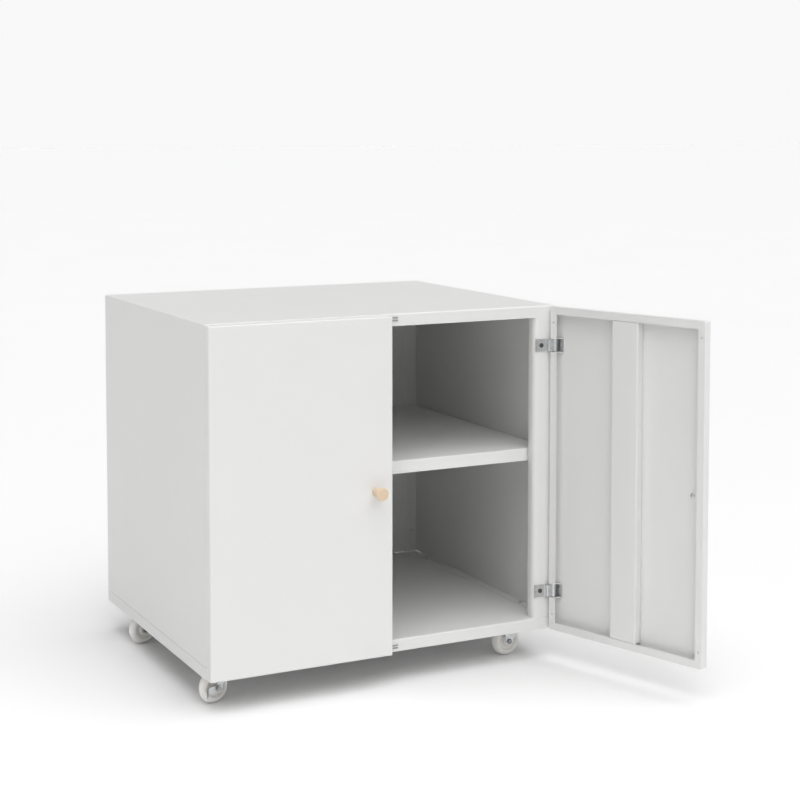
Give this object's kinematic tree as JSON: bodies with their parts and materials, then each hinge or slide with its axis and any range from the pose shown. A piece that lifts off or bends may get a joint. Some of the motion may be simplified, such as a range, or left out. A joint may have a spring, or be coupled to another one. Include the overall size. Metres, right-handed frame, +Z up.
{
  "type": "mobile printer stand",
  "caption": "White two-door sheet-steel cabinet on swivel casters, with an inner shelf, magnetic catches and tapered wooden knobs; one door stands open.",
  "frame": {"origin": "on the floor, under the middle of the cabinet body", "axes": "+Z up; the doors face -Y; +X is to the right as seen from the front"},
  "size_m": [0.713, 0.7775, 0.579],
  "materials": {
    "white_paint": "white powder coat on folded steel, satin with a fine orange-peel texture",
    "zinc_plate": "bright zinc plate on stamped steel",
    "bright_steel": "plain drawn steel",
    "nylon": "natural white nylon, slightly translucent",
    "beech": "turned beech with a clear matt lacquer",
    "catch_plastic": "moulded white plastic",
    "magnet": "sintered ferrite"
  },
  "bodies": {
    "cabinet": {"top_pan": "white_paint", "bottom_pan": "white_paint", "left_side_panel": "white_paint", "right_side_panel": "white_paint", "back_panel": "white_paint", "shelf": "white_paint", "shelf_brackets": "zinc_plate", "shelf_screws": "zinc_plate", "frame_screws": "zinc_plate", "back_screws": "zinc_plate", "catch_housings": "catch_plastic", "catch_magnets": "magnet", "catch_poles": "bright_steel", "catch_screws": "zinc_plate", "left_hinge_plates": "zinc_plate", "right_hinge_plates": "zinc_plate", "hinge_screws": "bright_steel", "caster_plates": "zinc_plate", "caster_studs": "zinc_plate", "caster_nuts": "zinc_plate", "king_pins": "bright_steel", "swivel_balls": "bright_steel", "race_cups": "zinc_plate"},
    "left_door": {"left_door_pan": "white_paint", "left_door_stiffener": "white_paint", "left_hinge_leaves": "zinc_plate", "left_hinge_pins": "bright_steel", "left_knob": "beech", "left_knob_screw": "zinc_plate"},
    "right_door": {"right_door_pan": "white_paint", "right_door_stiffener": "white_paint", "right_hinge_leaves": "zinc_plate", "right_hinge_pins": "bright_steel", "right_knob": "beech", "right_knob_screw": "zinc_plate"},
    "front_left_swivel": {"front_left_fork": "zinc_plate", "front_left_axle_bolt": "bright_steel", "front_left_axle_nut": "zinc_plate", "front_left_bush": "bright_steel"},
    "front_left_roller": {"front_left_wheel": "nylon"},
    "front_left_brake": {"front_left_brake_lever": "zinc_plate"},
    "front_right_swivel": {"front_right_fork": "zinc_plate", "front_right_axle_pin": "bright_steel", "front_right_axle_collar": "bright_steel", "front_right_bush": "bright_steel"},
    "front_right_roller": {"front_right_wheel": "nylon"},
    "rear_left_swivel": {"rear_left_fork": "zinc_plate", "rear_left_axle_pin": "bright_steel", "rear_left_axle_collar": "bright_steel", "rear_left_bush": "bright_steel"},
    "rear_left_roller": {"rear_left_wheel": "nylon"},
    "rear_right_swivel": {"rear_right_fork": "zinc_plate", "rear_right_axle_bolt": "bright_steel", "rear_right_axle_nut": "zinc_plate", "rear_right_bush": "bright_steel"},
    "rear_right_roller": {"rear_right_wheel": "nylon"},
    "rear_right_brake": {"rear_right_brake_lever": "zinc_plate"}
  },
  "joints": [
    {"name": "left_door_hinge", "type": "hinge", "parent": "cabinet", "child": "left_door", "pos_m": [-0.2955, -0.251, 0.3145], "axis": [0, 0, -1], "range_deg": [0, 110]},
    {"name": "right_door_hinge", "type": "hinge", "parent": "cabinet", "child": "right_door", "pos_m": [0.2955, -0.251, 0.3145], "axis": [0, 0, 1], "range_deg": [-108, 2]},
    {"name": "front_left_swivel_turn", "type": "hinge", "parent": "cabinet", "child": "front_left_swivel", "pos_m": [-0.256, -0.193, 0.063], "axis": [0, 0, 1], "continuous": true},
    {"name": "front_left_wheel_spin", "type": "hinge", "parent": "front_left_swivel", "child": "front_left_roller", "pos_m": [-0.27321, -0.19826, 0.025], "axis": [0.2924, -0.9563, 0], "continuous": true},
    {"name": "front_left_brake_press", "type": "hinge", "parent": "front_left_swivel", "child": "front_left_brake", "pos_m": [-0.27321, -0.19826, 0.025], "axis": [0.2924, -0.9563, 0], "range_deg": [0, 25]},
    {"name": "front_right_swivel_turn", "type": "hinge", "parent": "cabinet", "child": "front_right_swivel", "pos_m": [0.256, -0.193, 0.063], "axis": [0, 0, 1], "continuous": true},
    {"name": "front_right_wheel_spin", "type": "hinge", "parent": "front_right_swivel", "child": "front_right_roller", "pos_m": [0.23804, -0.19426, 0.025], "axis": [0.0698, -0.9976, 0], "continuous": true},
    {"name": "rear_left_swivel_turn", "type": "hinge", "parent": "cabinet", "child": "rear_left_swivel", "pos_m": [-0.256, 0.138, 0.063], "axis": [0, 0, 1], "continuous": true},
    {"name": "rear_left_wheel_spin", "type": "hinge", "parent": "rear_left_swivel", "child": "rear_left_roller", "pos_m": [-0.27373, 0.13487, 0.025], "axis": [0.1736, -0.9848, 0], "continuous": true},
    {"name": "rear_right_swivel_turn", "type": "hinge", "parent": "cabinet", "child": "rear_right_swivel", "pos_m": [0.256, 0.138, 0.063], "axis": [0, 0, 1], "continuous": true},
    {"name": "rear_right_wheel_spin", "type": "hinge", "parent": "rear_right_swivel", "child": "rear_right_roller", "pos_m": [0.25287, 0.12027, 0.025], "axis": [0.9848, -0.1736, 0], "continuous": true},
    {"name": "rear_right_brake_press", "type": "hinge", "parent": "rear_right_swivel", "child": "rear_right_brake", "pos_m": [0.25287, 0.12027, 0.025], "axis": [0.9848, -0.1736, 0], "range_deg": [0, 25]}
  ]
}
